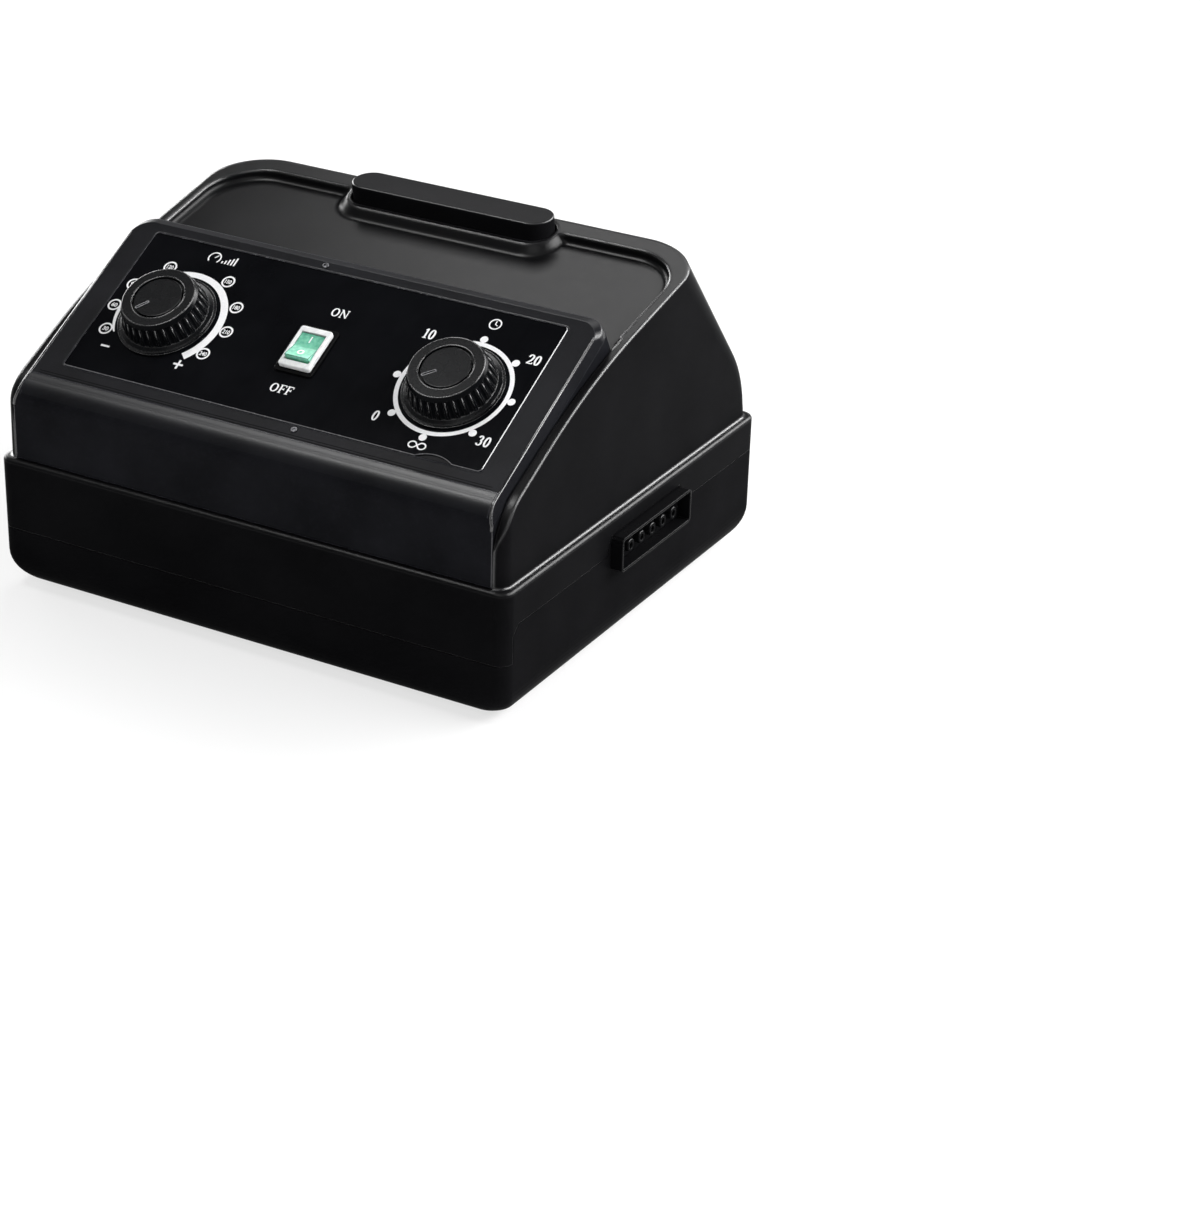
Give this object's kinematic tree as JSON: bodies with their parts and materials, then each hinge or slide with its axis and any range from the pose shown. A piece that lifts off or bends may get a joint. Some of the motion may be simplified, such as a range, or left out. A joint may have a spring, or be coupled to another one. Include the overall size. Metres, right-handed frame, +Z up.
{
  "type": "compression therapy pump",
  "caption": "Table-top air pump for compression sleeves, with two fluted dials, a rocker switch on a sloping console, a pull-up handle and a side hose outlet.",
  "frame": {"origin": "centre of the whole object's footprint, on the surface that the feet stand on", "axes": "+X to the user's right, along the width, +Y to the back, +Z up; the console faces -Y and the hose outlet +X"},
  "size_m": [0.2502, 0.2146, 0.1502],
  "materials": {
    "case_plastic": "satin black injection-moulded ABS",
    "console_plastic": "finely grained dark blue-grey ABS",
    "label_film": "glossy black overlay",
    "knob_plastic": "satin black moulding",
    "switch_white": "white nylon",
    "rocker_green": "translucent green",
    "gasket_rubber": "matt black rubber",
    "handle_plastic": "satin black nylon",
    "port_plastic": "satin black moulding",
    "inner_plastic": "dark grey nylon",
    "hose_rubber": "soft grey tube",
    "cast_metal": "as cast",
    "sheet_steel": "plated steel",
    "black_steel": "blackened steel",
    "coil_copper": "varnished copper winding",
    "terminal_brass": "tinned brass",
    "board_green": "solder-masked laminate",
    "filter_foam": "open-cell foam"
  },
  "bodies": {
    "case": {"bottom_tray": "case_plastic", "top_cover": "case_plastic", "console_fascia": "console_plastic", "control_label": "label_film", "bezel_screws": "black_steel", "pressure_regulator": "cast_metal", "dial_timer": "inner_plastic", "panel_nuts": "sheet_steel", "switch_gasket": "gasket_rubber", "switch_housing": "switch_white", "switch_terminals": "terminal_brass", "handle_guides": "handle_plastic", "outlet_frame": "port_plastic", "outlet_manifold": "port_plastic", "outlet_hoses": "hose_rubber", "valve_body": "inner_plastic", "valve_lid": "inner_plastic", "valve_motor": "cast_metal", "pump_base": "sheet_steel", "pump_mounts": "gasket_rubber", "pump_cylinders": "cast_metal", "pump_cores": "sheet_steel", "pump_coils": "coil_copper", "supply_hose": "hose_rubber", "bleed_hose": "hose_rubber", "circuit_board": "board_green", "board_components": "board_green", "board_screws": "sheet_steel", "mains_inlet": "inner_plastic", "fuse_holder": "inner_plastic", "intake_filter": "filter_foam", "rubber_feet": "gasket_rubber", "case_screws": "sheet_steel"},
    "pressure_dial": {"pressure_knob": "knob_plastic", "pressure_knob_cap": "knob_plastic", "pressure_spindle": "sheet_steel"},
    "time_dial": {"time_knob": "knob_plastic", "time_knob_cap": "knob_plastic", "timer_spindle": "sheet_steel"},
    "power_rocker": {"rocker_button": "rocker_green"},
    "handle": {"carry_handle": "handle_plastic", "handle_stops": "handle_plastic"},
    "distributor_rotor": {"valve_rotor": "inner_plastic"},
    "armature": {"pump_armature": "sheet_steel"}
  },
  "joints": [
    {"name": "pressure_dial_turn", "type": "hinge", "parent": "case", "child": "pressure_dial", "pos_m": [-0.0715, -0.05908, 0.11548], "axis": [0, -0.4876, 0.8731], "range_deg": [-270, 0]},
    {"name": "time_dial_turn", "type": "hinge", "parent": "case", "child": "time_dial", "pos_m": [0.0663, -0.05908, 0.11548], "axis": [0, -0.4876, 0.8731], "range_deg": [-315, 0]},
    {"name": "power_rocker_tilt", "type": "hinge", "parent": "case", "child": "power_rocker", "pos_m": [-0.0026, -0.05967, 0.11641], "axis": [1, 0, 0], "range_deg": [0, 18]},
    {"name": "handle_lift", "type": "slide", "parent": "case", "child": "handle", "axis": [0, -0.1219, 0.9925], "range_m": [0, 0.028]},
    {"name": "distributor_turn", "type": "hinge", "parent": "case", "child": "distributor_rotor", "pos_m": [0.0674, 0.0065, 0.039], "axis": [0, 0, 1], "continuous": true},
    {"name": "pump_stroke", "type": "slide", "parent": "case", "child": "armature", "axis": [1, 0, 0], "range_m": [-0.0015, 0.0015], "stiffness_N_per_m": 4000}
  ]
}
